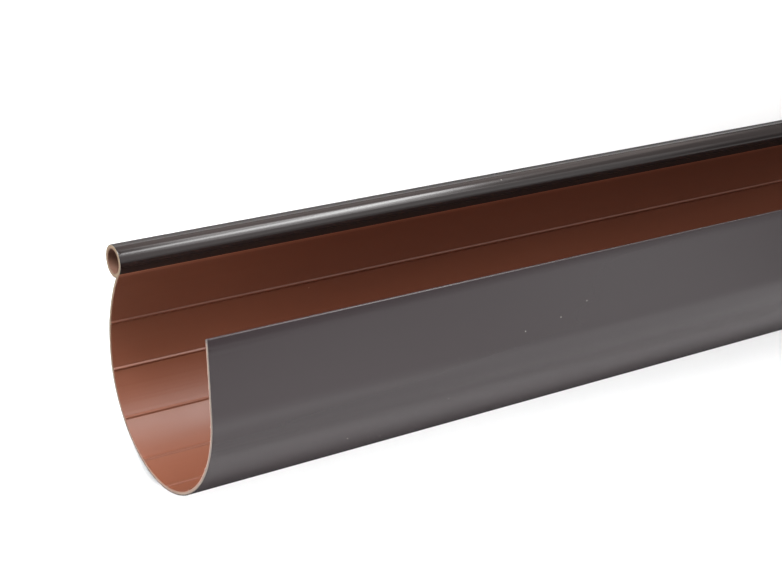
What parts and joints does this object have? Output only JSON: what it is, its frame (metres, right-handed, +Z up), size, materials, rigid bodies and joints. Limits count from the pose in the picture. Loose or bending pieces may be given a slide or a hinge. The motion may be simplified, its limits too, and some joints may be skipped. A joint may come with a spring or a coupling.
{
  "type": "gutter section",
  "caption": "Deep half-round rain gutter length: thin-walled open channel with a tubular bead along its front edge, a plain rear rim and fine ribs inside.",
  "frame": {"origin": "middle of the gutter's bounding box, on the floor that it rests on", "axes": "+X along the gutter; -Y towards the front bead and the mouth, which faces -Y and up as the gutter lies free on a floor; +Z up"},
  "size_m": [2, 0.1222, 0.1144],
  "materials": {
    "pvc": "two-colour extruded PVC: satin anthracite outside, red-brown inside"
  },
  "bodies": {
    "root": {"gutter_section": "pvc"}
  },
  "joints": []
}
